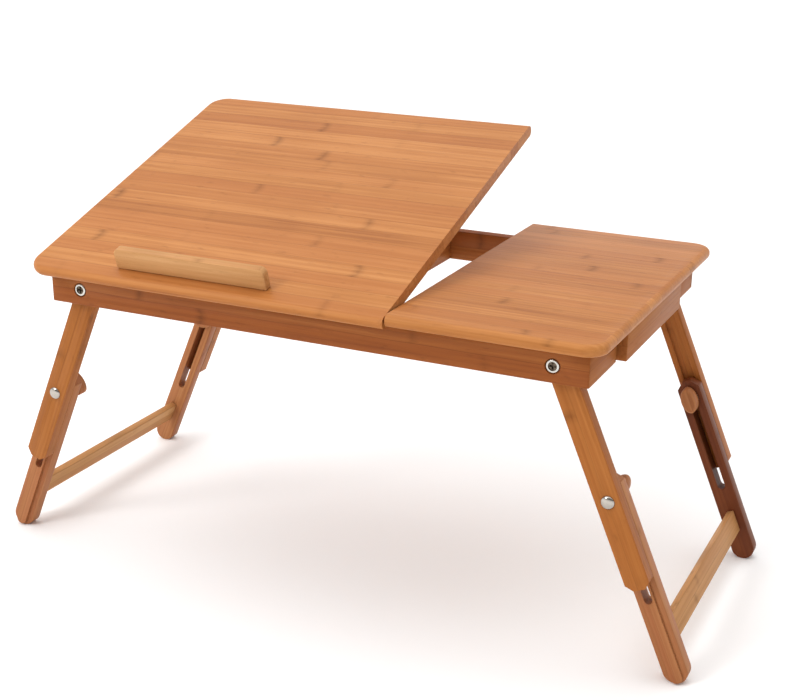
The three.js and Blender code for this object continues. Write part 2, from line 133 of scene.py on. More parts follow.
# ---- Fixed shelf ----
# The right third of the top: an 11 mm board pressed from caramelised bamboo strips, round at its
# two outer corners, bull-nosed all round but square where it meets the tilting board.
class Socket:
    """An output of a shader node. Arithmetic on it adds Math nodes to its material."""

    def __init__(self, tree, output=None):
        self.tree = tree
        self.output = output

    def node(self, kind, settings=(), out=0, **inputs):
        """Adds a node: its settings first, then its sockets, by name or by number as _0, _1."""
        made = self.tree.nodes.new("ShaderNode" + kind)
        for key, value in dict(settings).items():
            setattr(made, key, value)
        for key, value in inputs.items():
            socket = made.inputs[int(key[1:]) if key[0] == "_" else key.replace("_", " ")]
            if isinstance(value, Socket):
                self.tree.links.new(value.output, socket)
            else:
                socket.default_value = value
        return Socket(self.tree, made.outputs[out])

    def math(self, operation, *others):
        values = {f"_{i}": value for i, value in enumerate((self, *others))}
        return self.node("Math", {"operation": operation}, **values)

    def __add__(self, other):
        return self.math("ADD", other)

    def __sub__(self, other):
        return self.math("SUBTRACT", other)

    def __rsub__(self, other):
        return self.math("MULTIPLY_ADD", -1, other)

    def __mul__(self, other):
        return self.math("MULTIPLY", other)

    def __truediv__(self, other):
        return self.math("DIVIDE", other)

    __radd__ = __add__
    __rmul__ = __mul__

    def rise(self, low, high):
        """0 below low, 1 above high and smooth between them."""
        settings = {"interpolation_type": "SMOOTHSTEP"}
        return self.node("MapRange", settings, _0=self, _1=low, _2=high)

    def blend(self, a, b):
        """The colour a where this is 0, b where it is 1."""
        return self.node("Mix", {"data_type": "RGBA"}, out=2, _0=self, _6=a, _7=b)

    def parts(self):
        """The three numbers of a vector or colour."""
        outputs = self.node("SeparateXYZ", Vector=self).output.node.outputs
        return [Socket(self.tree, output) for output in outputs]

    def vector(self, x, y, z):
        return self.node("CombineXYZ", X=x, Y=y, Z=z)


def bamboo(name, tones, lay="XYZ", corner=(0, 0, 0), turn=None, strip=0.0185, ply=0.0055, seed=0.0,
           roughness=0.4, glue=0.3, gloss=0.13):
    """Pressed bamboo. Its fibres run along the first axis of lay, its strips lie side by side
    along the second and its plies along the third, counted from a corner of the piece. turn
    takes the piece's own axes back from those of the table."""
    material = bpy.data.materials.new(name)
    material.use_nodes = True
    tree = material.node_tree
    tree.nodes.clear()
    start = Socket(tree)
    turn = turn or Matrix.Identity(3)
    angles = turn.to_euler()
    shift = -(turn @ Vector(corner))
    place = start.node("Mapping", Vector=start.node("TexCoord", out="Object"), Rotation=angles,
                       Location=shift)
    coords = place.parts()
    length, across, depth = [coords["XYZ".index(axis)] for axis in lay]

    # Each strip of each ply has its own tone and its own knuckles.
    wander = start.node("TexNoise", {"noise_dimensions": "1D"}, W=length * 3 + seed, Detail=0.0)
    column = (across + wander * 0.0012) / strip + 0.02
    level = (depth / ply).math("FLOOR")
    strip_id = start.vector(column.math("FLOOR") + seed * 7, level, seed * 3)
    chance = start.node("TexWhiteNoise", {"noise_dimensions": "3D"}, out=1, Vector=strip_id)
    tone_chance, red_chance, knuckle_chance = chance.parts()

    slide = tone_chance * 9 + seed
    streak_place = start.vector(length * 5 + slide, across * 260, depth * 260)
    streak = start.node("TexNoise", Vector=streak_place, Scale=1.0, Detail=3.0, Roughness=0.6)
    fibre_place = start.vector(length * 26 + slide, across * 1500, depth * 1500)
    fibre = start.node("TexNoise", Vector=fibre_place, Scale=1.0, Detail=2.0, Roughness=0.6)
    cloud = start.node("TexNoise", Vector=place, Scale=11.0, Detail=2.0)

    knuckle_pitch = 0.27
    phase = length / knuckle_pitch + knuckle_chance * 5 + seed
    ragged = (streak - 0.5) * 0.006
    bow = (column.math("FRACT") - 0.5).math("POWER", 2) * 0.008
    along = (phase.math("FRACT") - 0.5) * knuckle_pitch + ragged + bow
    away = along.math("ABSOLUTE")
    knuckle = (1 - away.rise(0.0003, 0.0026)) * 0.14 + (1 - away.rise(0.001, 0.008)) * 0.26
    knuckle = knuckle * (cloud.rise(0.42, 0.58) * 0.8 + 0.2) * (streak * 1.6 + 0.2)
    spot_place = start.vector(length * 60 + slide * 3, across * 190, depth * 190)
    spot = start.node("TexNoise", Vector=spot_place, Scale=1.0, Detail=2.0, Roughness=0.5)
    knuckle = knuckle + spot.rise(0.6, 0.78) * 0.22

    edge = (0.5 - (column.math("FRACT") - 0.5).math("ABSOLUTE")) * strip
    joint = 1 - edge.rise(0.0001, 0.0005)
    pore = 1 - fibre.rise(0.33, 0.43)

    light, middle, dark, red = [(*tone, 1) for tone in tones]
    depth_of_tone = tone_chance * 0.4 + streak * 1.15 + cloud * 0.4 - 0.52
    colour = depth_of_tone.rise(0.05, 0.55).blend(light, middle)
    colour = depth_of_tone.rise(0.45, 1.0).blend(colour, dark)
    colour = (red_chance * 0.45).blend(colour, red)
    colour = (pore * 0.22).blend(colour, dark)
    scorched = tuple(0.42 * c for c in tones[2]) + (1,)
    colour = (joint * glue).blend(colour, scorched)
    colour = knuckle.blend(colour, scorched)

    # Handling rubs the lacquer on the eased edges, where the surface faces none of the axes: partly
    # wear, partly a painted highlight.
    facing = start.node("TexCoord", out="Normal")
    if turn != Matrix.Identity(3):
        facing = start.node("Mapping", {"vector_type": "VECTOR"}, Vector=facing, Rotation=angles)
    x, y, z = [part.math("ABSOLUTE") for part in facing.parts()]
    squareness = x.math("MAXIMUM", y).math("MAXIMUM", z)
    rubbed_and_highlit = (1 - squareness.rise(0.86, 0.98)) * cloud.rise(0.3, 0.6)
    # The paler edge colour is rubbed wear and a painted highlight along the arrises.
    edge_highlight_pale = tuple(min(1, 1.12 * c) for c in tones[0]) + (1,)
    colour = (rubbed_and_highlit * 0.3).blend(colour, edge_highlight_pale)

    relief = fibre * 0.5 + streak * 0.3 - joint * 0.6 - knuckle * 0.4
    bump = start.node("Bump", Height=relief, Strength=0.28, Distance=0.0003)
    lacquer = start.node(
        "BsdfPrincipled",
        Base_Color=colour,
        Roughness=(fibre - 0.5) * 0.25 + rubbed_and_highlit * 0.08 + knuckle * 0.1 + roughness,
        Normal=bump,
        Specular_IOR_Level=gloss,
    )
    finish(tree, lacquer)
    return material


def finish(tree, shader):
    """Joins a shader to its material's output."""
    tree.links.new(shader.output, tree.nodes.new("ShaderNodeOutputMaterial").inputs["Surface"])


# Light, middle, dark and reddish tones of one batch of boards.
CARAMEL = ((0.541, 0.230, 0.072), (0.427, 0.162, 0.042), (0.275, 0.088, 0.020), (0.399, 0.131, 0.034))


def block(name, low, high):
    """A cube primitive filling a box."""
    low, high = Vector(low), Vector(high)
    bpy.ops.object.select_all(action="DESELECT")
    bpy.ops.mesh.primitive_cube_add(size=1, location=(low + high) / 2, scale=high - low)
    made = bpy.context.object
    made.name = name
    bpy.ops.object.transform_apply(location=True, rotation=True, scale=True)
    return made


def pick(piece):
    """Makes a piece the only one that is selected, and the active one."""
    bpy.ops.object.select_all(action="DESELECT")
    piece.select_set(True)
    bpy.context.view_layer.objects.active = piece


def bevel_edges(piece, wanted, width, segments):
    """Bevels the edges whose middle and direction satisfy wanted."""
    pick(piece)
    bpy.ops.object.mode_set(mode="EDIT")
    bpy.ops.mesh.select_mode(type="EDGE")
    bpy.ops.mesh.select_all(action="DESELECT")
    bpy.ops.object.mode_set(mode="OBJECT")
    points = piece.data.vertices
    for edge in piece.data.edges:
        a, b = [points[i].co for i in edge.vertices]
        edge.select = wanted((a + b) / 2, (b - a).normalized())
    bpy.ops.object.mode_set(mode="EDIT")
    bpy.ops.mesh.bevel(offset=width, segments=segments, affect="EDGES")
    bpy.ops.object.mode_set(mode="OBJECT")


def smooth(piece, angle=35):
    """Shades a piece smooth, but for the edges sharper than the angle."""
    pick(piece)
    bpy.ops.object.shade_smooth_by_angle(angle=radians(angle))


def hand_over(piece, material, body, node):
    """Gives a finished piece its material, its body and the CAD node it stands for."""
    piece.data.materials.clear()
    piece.data.materials.append(material)
    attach(piece, body)
    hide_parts(node)


CORNER_ROUND = 0.020


def board(name, low, high, outer_x, split_x):
    """A board with round outer corners and a bull nose on all sides but the split."""
    made = block(name, low, high)

    def at_outer_corner(at, way):
        return abs(way.z) > 0.9 and abs(at.x - outer_x) < 0.001

    bevel_edges(made, at_outer_corner, CORNER_ROUND, 10)
    nose = (high[2] - low[2]) / 2 - 0.0003

    def on_rim(at, way):
        level = abs(way.z) < 0.01 and min(abs(at.z - low[2]), abs(at.z - high[2])) < 1e-5
        return level and abs(at.x - split_x) > 1e-4

    bevel_edges(made, on_rim, nose, 6)
    return made


shelf_low, shelf_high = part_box("fixed_top")
shelf = board("fixed_shelf", shelf_low, shelf_high, shelf_high[0], shelf_low[0])
smooth(shelf)
shelf_bamboo = bamboo("shelf_bamboo", CARAMEL, corner=shelf_low, seed=2.3)
hand_over(shelf, shelf_bamboo, "frame", "fixed_top")


# ---- Tilting board ----
# The other two thirds of the top, hinged along its front edge so that it lifts at the back. Its
# underside is let in for the two hinges, and two blind holes take the dowels of the stop bar.
def turned_blank(axis, name, low, high, radius, sides=32):
    """A cylinder primitive along an axis, X, Y or Z, between two points."""
    low, high = Vector(low), Vector(high)
    bpy.ops.object.select_all(action="DESELECT")
    bpy.ops.mesh.primitive_cylinder_add(
        vertices=sides,
        radius=radius,
        depth=(high - low).length,
        location=(low + high) / 2,
        rotation={"X": (0, pi / 2, 0), "Y": (pi / 2, 0, 0), "Z": (0, 0, 0)}[axis],
    )
    made = bpy.context.object
    made.name = name
    bpy.ops.object.transform_apply(location=True, rotation=True, scale=True)
    return made


def combine(piece, others, operation):
    """Cuts the other shapes out of a piece, or joins them to it."""
    for other in others:
        bpy.context.view_layer.objects.active = piece
        modifier = piece.modifiers.new(operation.lower(), "BOOLEAN")
        modifier.operation = operation
        modifier.object = other
        modifier.solver = "EXACT"
        bpy.ops.object.modifier_apply(modifier=modifier.name)
        bpy.data.objects.remove(other)


def set_down(piece, matrix):
    """Moves a piece to its place and writes the place into its mesh."""
    pick(piece)
    piece.matrix_world = matrix
    bpy.ops.object.transform_apply(location=True, rotation=True, scale=True)


TILT = radians(-joints["panel_tilt"]["range_deg"][0])
hinge_line = Vector(joints["panel_tilt"]["pos_m"])
hinge_line.x = 0
tilted = (
    Matrix.Translation(hinge_line) @ Matrix.Rotation(TILT, 4, "X") @ Matrix.Translation(-hinge_line)
)
untilt = Matrix.Rotation(-TILT, 3, "X")

TILT_THICK = 0.0106
SPLIT_GAP = 0.0016
tilt_left = -shelf_high[0]
tilt_low = Vector((tilt_left, shelf_low[1], shelf_high[2] - TILT_THICK))
tilt_high = Vector((shelf_low[0] - SPLIT_GAP, shelf_high[1], shelf_high[2]))
tilt_board = board("tilting_board", tilt_low, tilt_high, tilt_left, tilt_high[0])

OVER = 0.001  # how far a cutter starts outside the face it goes into
LEAF_PLAY = 0.0004
KNUCKLE_HALF = 0.0034
KNUCKLE_DEEP = 0.0031
POCKET_LONG = 0.0155
POCKET_DEEP = 0.0015
board_cuts = []
for leaf in ("hinge_leaf_top_left", "hinge_leaf_top_right"):
    (x0, _, _), (x1, _, _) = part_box(leaf)
    y, z = hinge_line.y, tilt_low.z
    for y0, y1, depth in (
        (y - KNUCKLE_HALF, y + KNUCKLE_HALF, KNUCKLE_DEEP),
        (y, y + POCKET_LONG, POCKET_DEEP),
    ):
        board_cuts.append(
            block("cut", (x0 - LEAF_PLAY, y0, z - 3 * OVER), (x1 + LEAF_PLAY, y1, z + depth))
        )
STOP_DOWEL_X = (-0.160, -0.050)
STOP_DOWEL_Y = hinge_line.y + 0.00775
DOWEL_HOLE = 0.0029
DOWEL_HOLE_DEEP = 0.0084
for x in STOP_DOWEL_X:
    board_cuts.append(
        turned_blank("Z", "cut", (x, STOP_DOWEL_Y, tilt_high.z - DOWEL_HOLE_DEEP),
                     (x, STOP_DOWEL_Y, tilt_high.z + OVER), DOWEL_HOLE)
    )
combine(tilt_board, board_cuts, "DIFFERENCE")
smooth(tilt_board)
set_down(tilt_board, tilted)
tilt_bamboo = bamboo("tilting_bamboo", CARAMEL, turn=untilt, corner=tilted @ tilt_low, seed=5.1)
hand_over(tilt_board, tilt_bamboo, "tilt_panel", "tilt_top")


# ---- Front and back rails ----
# Two 30 x 12 mm rails of darker bamboo under the long edges. Their outer faces are counterbored
# for the leg bolts, their ends are mitred into the end pieces and their arrises are eased.
DARK = ((0.391, 0.136, 0.034), (0.288, 0.086, 0.018), (0.177, 0.046, 0.010), (0.298, 0.079, 0.019))


def ease(piece, width=0.0007, segments=2):
    """Takes the arris off every edge sharper than 40 degrees."""
    bpy.context.view_layer.objects.active = piece
    modifier = piece.modifiers.new("eased", "BEVEL")
    modifier.width = width
    modifier.segments = segments
    modifier.limit_method = "ANGLE"
    modifier.angle_limit = radians(40)
    modifier.use_clamp_overlap = True
    bpy.ops.object.modifier_apply(modifier=modifier.name)
    smooth(piece)


def mitre(piece, corner, normal):
    """Saws off what lies beyond an upright plane through a corner of the frame."""
    pick(piece)
    bpy.ops.object.mode_set(mode="EDIT")
    bpy.ops.mesh.select_all(action="SELECT")
    bpy.ops.mesh.bisect(plane_co=corner, plane_no=normal, use_fill=True, clear_outer=True)
    bpy.ops.object.mode_set(mode="OBJECT")


leg_pivot = Vector(joints["right_leg_fold"]["pos_m"])
RAIL_THICK = 0.012
BOLT_HOLE = 0.0032
SINK_RADIUS = 0.0066
BOLT_SINK = 0.0022
RAIL_LEAF_PLAY = 0.0003
RAIL_POCKET_DEEP = 0.0014
for node, outward in (("front_rail", -1), ("back_rail", 1)):
    low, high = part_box(node)
    rail = block(node + "_eased", low, high)
    outer = low[1] if outward < 0 else high[1]
    for x, sideways in ((low[0], -1), (high[0], 1)):
        mitre(rail, (x, outer, 0), (sideways, -outward, 0))
    sinks = []
    for x in (-leg_pivot.x, leg_pivot.x):
        for radius, depth in ((SINK_RADIUS, BOLT_SINK), (BOLT_HOLE, RAIL_THICK + OVER)):
            near = (x, outer + outward * OVER, leg_pivot.z)
            far = (x, outer - outward * depth, leg_pivot.z)
            sinks.append(turned_blank("Y", "cut", near, far, radius))
    if outward < 0:
        for leaf in ("hinge_leaf_rail_left", "hinge_leaf_rail_right"):
            (x0, _, _), (x1, y1, _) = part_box(leaf)
            sinks.append(
                block("cut", (x0 - RAIL_LEAF_PLAY, low[1] - OVER, high[2] - RAIL_POCKET_DEEP),
                      (x1 + RAIL_LEAF_PLAY, y1 + RAIL_LEAF_PLAY, high[2] + OVER))
            )
    combine(rail, sinks, "DIFFERENCE")
    ease(rail)
    rail_bamboo = bamboo(node + "_bamboo", DARK, "XZY", low, strip=0.0152, ply=0.0061,
                         seed=1.4 - outward, roughness=0.46)
    hand_over(rail, rail_bamboo, "frame", node)


# ---- End pieces and centre rail ----
# The cross pieces of the frame: a whole rail at the left, two short ones beside the drawer and
# one under the edge of the tilting board. Their fibres run from front to back.
ROSY = ((0.428, 0.168, 0.048), (0.335, 0.118, 0.031), (0.233, 0.069, 0.016), (0.335, 0.108, 0.031))
for i, (node, tones) in enumerate(
    (("left_end_rail", DARK), ("right_end_front", ROSY), ("right_end_back", ROSY),
     ("centre_rail", DARK))
):
    low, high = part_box(node)
    cross = block(node + "_eased", low, high)
    sideways = -1 if node == "left_end_rail" else 1
    outer_x = low[0] if sideways < 0 else high[0]
    if node in ("left_end_rail", "right_end_front"):
        mitre(cross, (outer_x, low[1], 0), (-sideways, -1, 0))
    if node in ("left_end_rail", "right_end_back"):
        mitre(cross, (outer_x, high[1], 0), (-sideways, 1, 0))
    ease(cross)
    cross_bamboo = bamboo(node + "_bamboo", tones, "YZX", low, strip=0.0152, ply=0.0061,
                          seed=3.2 + i, roughness=0.45, gloss=0.04)
    hand_over(cross, cross_bamboo, "frame", node)


# ---- Drawer ----
# A shallow box for pens: a thick front that stands proud of the end pieces, thin sides with a
# groove for the runners, a back and a bottom. Left a little paler than the frame.
BLOND = ((0.589, 0.325, 0.141), (0.494, 0.247, 0.092), (0.361, 0.160, 0.051), (0.494, 0.218, 0.082))


def dress(node, material):
    """Gives a kept CAD node its material."""
    for material_slot in frame["nodes"][node].material_slots:
        material_slot.material = material


low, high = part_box("drawer_front")
drawer_front = block("drawer_front_eased", low, high)
ease(drawer_front, 0.001)
face_bamboo = bamboo("drawer_face_bamboo", ROSY, "YZX", low, strip=0.0142, ply=0.005, seed=8.6,
                     gloss=0.04)
hand_over(drawer_front, face_bamboo, "drawer", "drawer_front")
drawer_bamboo = bamboo("drawer_box_bamboo", BLOND, "XZY", low, strip=0.011, ply=0.004, seed=9.7,
                       roughness=0.55)
for node in ("drawer_side_front", "drawer_side_back", "drawer_bottom"):
    dress(node, drawer_bamboo)
dress("drawer_back", bamboo("drawer_back_bamboo", BLOND, "YZX", low, strip=0.011, ply=0.004,
                            seed=10.9, roughness=0.55))
runner_bamboo = bamboo("runner_bamboo", DARK, "XZY", low, strip=0.0105, ply=0.0055, seed=12.1,
                       roughness=0.55)
for node in ("drawer_runner_front", "drawer_runner_back"):
    dress(node, runner_bamboo)


# ---- Hinges of the tilting board ----
# Two small plated butt hinges: a leaf let into the front rail, a leaf let into the underside of
# the board and a pin through their knuckles.
def plated(name, tint, roughness, scratch=1400):
    """Bright plated steel with faint lengthwise scratches and dull patches."""
    material = bpy.data.materials.new(name)
    material.use_nodes = True
    tree = material.node_tree
    tree.nodes.clear()
    start = Socket(tree)
    place = start.node("TexCoord", out="Object")
    x, y, z = place.parts()
    scratches = start.node("TexNoise", Vector=start.vector(x * 200, y * scratch, z * scratch),
                           Scale=1.0, Detail=2.0)
    dull = start.node("TexNoise", Vector=place, Scale=160.0, Detail=3.0)
    stained = tuple(0.62 * c for c in tint)
    colour = (dull.rise(0.5, 0.75) * 0.5).blend((*tint, 1), (*stained, 1))
    steel = start.node(
        "BsdfPrincipled",
        Base_Color=colour,
        Metallic=1.0,
        Roughness=scratches * 0.12 + dull * 0.12 + roughness,
        Normal=start.node("Bump", Height=scratches, Strength=0.12, Distance=0.0001),
    )
    finish(tree, steel)
    return material


ZINC = (0.72, 0.71, 0.68)
hinge_steel = plated("hinge_zinc", ZINC, 0.22)
for side in ("left", "right"):
    for node in ("hinge_leaf_rail_", "hinge_leaf_top_", "hinge_pin_"):
        dress(node + side, hinge_steel)


# ---- Stop bar ----
# The ledge that keeps a computer from sliding off: a blond strip with rounded upper corners,
# standing on two dowels that push into the tilting board.
(stop_x0, _, _), (stop_x1, _, _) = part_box("stop_bar")
STOP_THICK = 0.0085
STOP_TALL = 0.020
STOP_ROUND = 0.006
DOWEL_RADIUS = 0.0025
DOWEL_DEEP = 0.0083
stop_front = hinge_line.y + 0.0035
stop_base = shelf_high[2] + 0.0003
low = Vector((stop_x0, stop_front, stop_base))
high = Vector((stop_x1, stop_front + STOP_THICK, stop_base + STOP_TALL))
stop_bar = block("stop_bar_eased", low, high)
bevel_edges(stop_bar, lambda at, way: abs(way.y) > 0.9 and at.z > high.z - 0.001, STOP_ROUND, 6)
ease(stop_bar, 0.0013, 3)
dowels = [
    turned_blank("Z", "dowel", (x, STOP_DOWEL_Y, stop_base - DOWEL_DEEP),
                 (x, STOP_DOWEL_Y, stop_base + 4 * OVER), DOWEL_RADIUS)
    for x in STOP_DOWEL_X
]
combine(stop_bar, dowels, "UNION")
smooth(stop_bar)
set_down(stop_bar, tilted)
stop_bamboo = bamboo("stop_bar_bamboo", BLOND, "XZY", tilted @ low, untilt, strip=0.0205, ply=0.0045,
                     seed=14.2, roughness=0.48, glue=0.15)
hand_over(stop_bar, stop_bamboo, "ledge", "stop_bar")


# ---- Prop and racks ----
# A slotted strut turns on a steel rod under the tilting board, and its foot rod steps along the
# notches of two racks let in between the long rails.
low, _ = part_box("prop_rack_left")
rack_bamboo = bamboo("rack_bamboo", DARK, "YZX", low, strip=0.0142, ply=0.005, seed=15.3,
                     roughness=0.5)
for node in ("prop_rack_left", "prop_rack_right"):
    dress(node, rack_bamboo)
block_bamboo = bamboo("prop_block_bamboo", DARK, "YZX", low, untilt, strip=0.012, ply=0.005,
                      seed=16.4, roughness=0.5)
for node in ("prop_block_left", "prop_block_right"):
    dress(node, block_bamboo)
STRUT_LEAN = radians(29.5)
strut_bamboo = bamboo("prop_strut_bamboo", BLOND, "YXZ", low, Matrix.Rotation(STRUT_LEAN, 3, "X"),
                      strip=0.015, ply=0.0045, seed=17.5, roughness=0.5)
dress("prop_strut", strut_bamboo)
rod_steel = plated("rod_zinc", ZINC, 0.25)
dress("prop_pivot_rod", rod_steel)
dress("prop_foot_rod", rod_steel)


# ---- Upper legs ----
# Four flat bars of bamboo, round at the top where they turn on their bolts and cut off with
# small chamfers below. The inner face has a groove for the tongue of the lower leg.
AMBER = ((0.432, 0.160, 0.036), (0.342, 0.113, 0.022), (0.225, 0.064, 0.011), (0.342, 0.094, 0.018))
LEG_HALF = 0.011
LEG_THICK = 0.012
LEG_GAP = 0.0004
LEG_SPACE = 0.0008
CLAMP_AT = 0.1235
UPPER_END = 0.2033
UPPER_CHAMFER = 0.006
TONGUE_PLAY = 0.0006
GROOVE_TOP = 0.008
SPLAY = asin(abs(joints["right_leg_extend"]["axis"][0]))
_, (_, front_rail_back, _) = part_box("front_rail")
rail_inner = front_rail_back - leg_pivot.y  # from the table's middle line, negative at the front


def leg_matrix(side):
    """Takes a leg drawn upright under its pivot to its place; side is 1 at the right."""
    pivot = Vector((side * leg_pivot.x, leg_pivot.y, leg_pivot.z))
    return Matrix.Translation(pivot) @ Matrix.Rotation(-side * SPLAY, 4, "Y")


def leg_wood(name, tones, side, corner, **look):
    """Bamboo with its fibres along a leg. The corner is given in the upright leg's axes."""
    upright = Matrix.Rotation(side * SPLAY, 3, "Y")
    return bamboo(name, tones, "ZXY", leg_matrix(side) @ Vector(corner), upright, **look)


def rounded(piece, z, radius, segments):
    """Rounds or chamfers the two edges across a leg at one of its ends."""
    bevel_edges(
        piece, lambda at, way: abs(way.y) > 0.9 and abs(at.z - z) < 1e-5, radius, segments
    )


def cutter(width, y0, y1, z0, z1):
    """A stadium-ended cutter for a groove or slot along a leg."""
    made = block("cut", (-width / 2, min(y0, y1), z0), (width / 2, max(y0, y1), z1))
    bevel_edges(made, lambda at, way: abs(way.y) > 0.9, width / 2 - 1e-5, 8)
    return made


CORNERS = [
    (end, row, side, inward)
    for end, side in (("left", -1), ("right", 1))
    for row, inward in (("front", 1), ("back", -1))
]
TONGUE_WIDE = 0.0106
TONGUE_TALL = 0.0024
for i, (end, row, side, inward) in enumerate(CORNERS):
    y0 = inward * (rail_inner + LEG_GAP)
    y1 = y0 + inward * LEG_THICK
    upper = block(
        f"upper_leg_{end}_{row}_eased",
        (-LEG_HALF, min(y0, y1), -UPPER_END),
        (LEG_HALF, max(y0, y1), LEG_HALF),
    )
    rounded(upper, LEG_HALF, LEG_HALF - 1e-5, 12)
    rounded(upper, -UPPER_END, UPPER_CHAMFER, 1)
    holes = [
        turned_blank("Y", "cut", (0, y0 - inward * OVER, z), (0, y1 + inward * OVER, z), BOLT_HOLE)
        for z in (0, -CLAMP_AT)
    ]
    holes.append(
        cutter(TONGUE_WIDE + TONGUE_PLAY, y1 - inward * TONGUE_TALL, y1 + inward * OVER,
               -UPPER_END - 20 * OVER, -GROOVE_TOP)
    )
    combine(upper, holes, "DIFFERENCE")
    ease(upper, 0.0011)
    set_down(upper, leg_matrix(side))
    leg_bamboo = leg_wood(f"upper_leg_{end}_{row}_bamboo", AMBER, side,
                          (-LEG_HALF, min(y0, y1), 0), strip=0.0111, ply=0.0061,
                          seed=20.1 + 1.3 * i, roughness=0.44, glue=0.2)
    hand_over(upper, leg_bamboo, f"{end}_upper_legs", f"upper_leg_{end}_{row}")


# ---- Lower legs ----
# They slide on the inside of the upper legs: a tongue keeps them straight, a long slot lets the
# clamp bolt through, and the foot is rounded so that it stands at any height.
RUSSET = ((0.45, 0.195, 0.075), (0.36, 0.138, 0.050), (0.24, 0.078, 0.025), (0.36, 0.115, 0.045))
# A darker copy of the russet tones: painted shade for the leg that stands deepest under the table.
RUSSET_PAINTED_SHADE = ((0.220, 0.065, 0.020), (0.155, 0.042, 0.014), (0.085, 0.021, 0.007), (0.155, 0.036, 0.012))
LOWER_TOP = 0.106
LOWER_CHAMFER = 0.0075
SLOT_WIDE = 0.0074
SLOT_FROM = 0.1199
SLOT_TO = 0.221
LEGS_DEEP = LEG_GAP + 2 * LEG_THICK + LEG_SPACE
foot_end = (leg_pivot.z - LEG_HALF) / cos(SPLAY) + LEG_HALF
for i, (end, row, side, inward) in enumerate(CORNERS):
    y0 = inward * (rail_inner + LEG_GAP + LEG_THICK + LEG_SPACE)
    y1 = y0 + inward * LEG_THICK
    lower = block(
        f"lower_leg_{end}_{row}_eased",
        (-LEG_HALF, min(y0, y1), -foot_end),
        (LEG_HALF, max(y0, y1), -LOWER_TOP),
    )
    rounded(lower, -foot_end, LEG_HALF - 1e-5, 12)
    rounded(lower, -LOWER_TOP, LOWER_CHAMFER, 1)
    ease(lower, 0.0012)
    tongue = cutter(TONGUE_WIDE, y0 - inward * TONGUE_TALL, y0 + inward * OVER,
                    -foot_end + OVER, -LOWER_TOP - 2 * OVER)
    combine(lower, [tongue], "UNION")
    slot_cut = cutter(SLOT_WIDE, y0 - inward * 4 * OVER, y1 + inward * OVER, -SLOT_TO, -SLOT_FROM)
    combine(lower, [slot_cut], "DIFFERENCE")
    smooth(lower)
    set_down(lower, leg_matrix(side))
    # The back right lower leg takes the darker copy, painted shade.
    tones = RUSSET_PAINTED_SHADE if (end, row) == ("right", "back") else RUSSET
    leg_bamboo = leg_wood(f"lower_leg_{end}_{row}_bamboo", tones, side,
                          (-LEG_HALF, min(y0, y1), 0), strip=0.0111, ply=0.0061,
                          seed=30.7 + 1.3 * i, roughness=0.42, glue=0.2)
    hand_over(lower, leg_bamboo, f"{end}_lower_legs", f"lower_leg_{end}_{row}")


# ---- Crossbars ----
# A flat blond bar ties the two lower legs of each end, so that they slide and fold together.
BAR_FACES = (-0.003, 0.004)  # counted outwards from the middle of the leg
BAR_TOP = 0.2445
BAR_FOOT = 0.266
BAR_PLAY = 0.0003
for side, end in ((-1, "left"), (1, "right")):
    half_wide = -rail_inner - LEGS_DEEP - BAR_PLAY
    x0, x1 = sorted(side * x for x in BAR_FACES)
    low = Vector((x0, -half_wide, -BAR_FOOT))
    high = Vector((x1, half_wide, -BAR_TOP))
    bar = block(f"crossbar_{end}_eased", low, high)
    ease(bar, 0.0009)
    set_down(bar, leg_matrix(side))
    bar_bamboo = bamboo(f"crossbar_{end}_bamboo", BLOND, "YZX", leg_matrix(side) @ low,
                        Matrix.Rotation(side * SPLAY, 3, "Y"), strip=0.0109, ply=0.0036,
                        seed=40.3 + side, roughness=0.48)
    hand_over(bar, bar_bamboo, f"{end}_lower_legs", f"crossbar_{end}")


# ---- Pivot bolts ----
# Plated bolts through rail and leg. The flanged head lies in its counterbore and has a cross
# recess; a nut holds the leg on the inside.
bolt_steel = plated("bolt_zinc", (0.58, 0.56, 0.52), 0.14)
# The dish and cross recess of each head get a dark steel: painted shade in the hollow.
recess_shade_steel = plated("bolt_recess_painted_shade", (0.15, 0.115, 0.085), 0.34)
HEAD_RADIUS = 0.0057
HEAD_THICK = 0.0018
HEAD_LIFT = 0.0003
HEAD_ROUND = 0.0009
DISH_RADIUS = 0.0039
DISH_FLOOR = 0.0009
CROSS_LONG = 0.0029
CROSS_WIDE = 0.0009
CROSS_DEEP = 0.0014
SHANK_RADIUS = 0.003
PIVOT_SHANK = 0.0246


def shank_blank(start, length):
    """The plain shank of a bolt, from just inside its head."""
    return turned_blank("Y", "shank", (0, -start, 0), (0, length, 0), SHANK_RADIUS, 24)


def pivot_head():
    """A bolt with its head towards -Y, its flange's back at y = 0."""
    head = turned_blank("Y", "pivot_bolt", (0, -HEAD_THICK, 0), (0, 0, 0), HEAD_RADIUS, 40)

    def on_front_rim(at, way):
        return abs(at.y + HEAD_THICK) < 1e-5 and abs(way.y) < 0.1

    bevel_edges(head, on_front_rim, HEAD_ROUND, 3)
    front = -3 * OVER
    dish = turned_blank("Y", "cut", (0, front, 0), (0, -DISH_FLOOR, 0), DISH_RADIUS)
    arms = [
        block("cut", (-a, front, -b), (a, CROSS_DEEP, b))
        for a, b in ((CROSS_LONG, CROSS_WIDE), (CROSS_WIDE, CROSS_LONG))
    ]
    combine(head, [shank_blank(0.0001, PIVOT_SHANK)], "UNION")
    combine(head, [dish, *arms], "DIFFERENCE")
    return head


